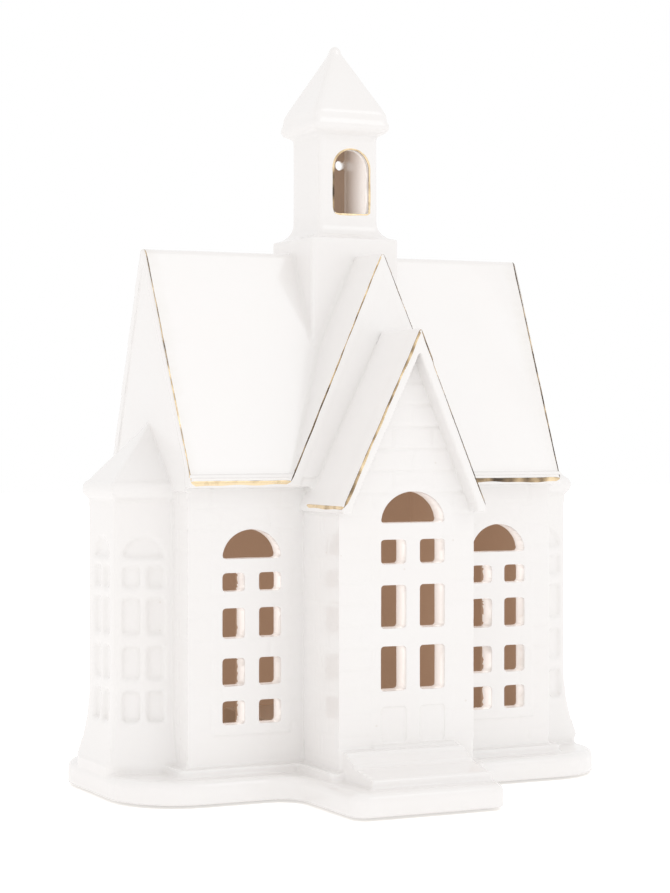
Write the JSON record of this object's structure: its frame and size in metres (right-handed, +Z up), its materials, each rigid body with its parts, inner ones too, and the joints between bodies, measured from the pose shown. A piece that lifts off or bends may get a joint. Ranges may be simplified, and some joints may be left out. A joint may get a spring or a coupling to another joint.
{
  "type": "ceramic christmas village house",
  "caption": "White glazed ceramic village church with gold roof lines, pierced arched windows, gabled porch, canted bays, a belfry, and a battery light unit in its base.",
  "frame": {"origin": "middle of the base's bounding rectangle, on the surface that the feet rest on", "axes": "+Z up, the porch faces -Y, +X to the right seen from the front"},
  "size_m": [0.164, 0.1178, 0.2308],
  "materials": {
    "white_glaze": "gloss white glaze over slip-cast earthenware",
    "gold_lustre": "hand-painted fired gold lustre",
    "white_moulding": "fine satin moulding",
    "black_moulding": "fine matt moulding",
    "plated_steel": "nickel plated",
    "board": "solder mask",
    "lamp_resin": "clear warm resin",
    "cell_jacket": "printed jacket, bare of lettering",
    "wire_sleeve": "smooth sleeve",
    "rubber_ring": "matt rubber"
  },
  "bodies": {
    "house": {"plinth": "white_glaze", "front_steps": "white_glaze", "front_wall_left": "white_glaze", "front_wall_right": "white_glaze", "back_wall": "white_glaze", "left_gable_wall": "white_glaze", "right_gable_wall": "white_glaze", "nave_roof": "white_glaze", "cross_gable": "white_glaze", "porch_front": "white_glaze", "porch_side_walls": "white_glaze", "porch_roof": "white_glaze", "left_bay": "white_glaze", "right_bay": "white_glaze", "left_bay_roof": "white_glaze", "right_bay_roof": "white_glaze", "tower_collar": "white_glaze", "belfry": "white_glaze", "spire": "white_glaze", "nave_left_gold": "gold_lustre", "nave_right_gold": "gold_lustre", "cross_gable_gold": "gold_lustre", "porch_gold": "gold_lustre", "belfry_gold": "gold_lustre", "rubber_feet": "rubber_ring"},
    "light_unit": {"light_housing": "white_moulding", "lamp_cover": "white_moulding", "board_screws": "plated_steel", "circuit_board": "board", "led": "lamp_resin", "battery_cells": "cell_jacket", "battery_contacts": "plated_steel", "switch_body": "plated_steel", "switch_wires": "wire_sleeve", "seal_ring": "rubber_ring"},
    "battery_door": {"battery_door": "white_moulding"},
    "switch_knob": {"switch_slider": "black_moulding"}
  },
  "joints": [
    {"name": "light_unit_pull", "type": "slide", "parent": "house", "child": "light_unit", "axis": [0, 0, -1], "range_m": [0, 0.03]},
    {"name": "battery_door_hinge", "type": "hinge", "parent": "light_unit", "child": "battery_door", "pos_m": [-0.02775, 0.0209, 0.00185], "axis": [0, 1, 0], "range_deg": [0, 95]},
    {"name": "switch_slide", "type": "slide", "parent": "light_unit", "child": "switch_knob", "axis": [0, 1, 0], "range_m": [0, 0.0025]}
  ]
}
